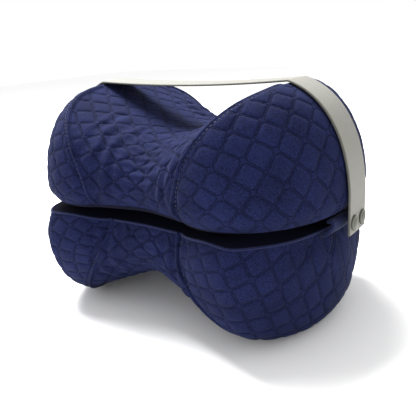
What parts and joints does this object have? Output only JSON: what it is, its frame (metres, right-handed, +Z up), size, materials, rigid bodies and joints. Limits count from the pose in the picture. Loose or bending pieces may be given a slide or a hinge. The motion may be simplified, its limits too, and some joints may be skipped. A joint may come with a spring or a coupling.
{
  "type": "hourglass knee pillow",
  "caption": "Hourglass knee pillow of two filled quilted halves with saddles for the legs, joined at the ends and held by a flat elastic strap with snap caps.",
  "frame": {"origin": "bottom centre of the pillow's box, on the surface that it rests on", "axes": "+X along the pillow from end to end, +Y along the legs, +Z up"},
  "size_m": [0.2792, 0.1975, 0.1843],
  "materials": {
    "quilted_knit": "navy quilted knit with a short nap",
    "plain_knit": "navy knit",
    "elastic": "grey woven elastic",
    "snap": "grey moulded plastic"
  },
  "bodies": {
    "root": {"upper_cushion": "quilted_knit", "lower_cushion": "quilted_knit", "gusset_right": "plain_knit", "gusset_left": "plain_knit", "strap": "elastic", "snap_right_near": "snap", "snap_right_far": "snap", "snap_left_near": "snap", "snap_left_far": "snap"}
  },
  "joints": []
}
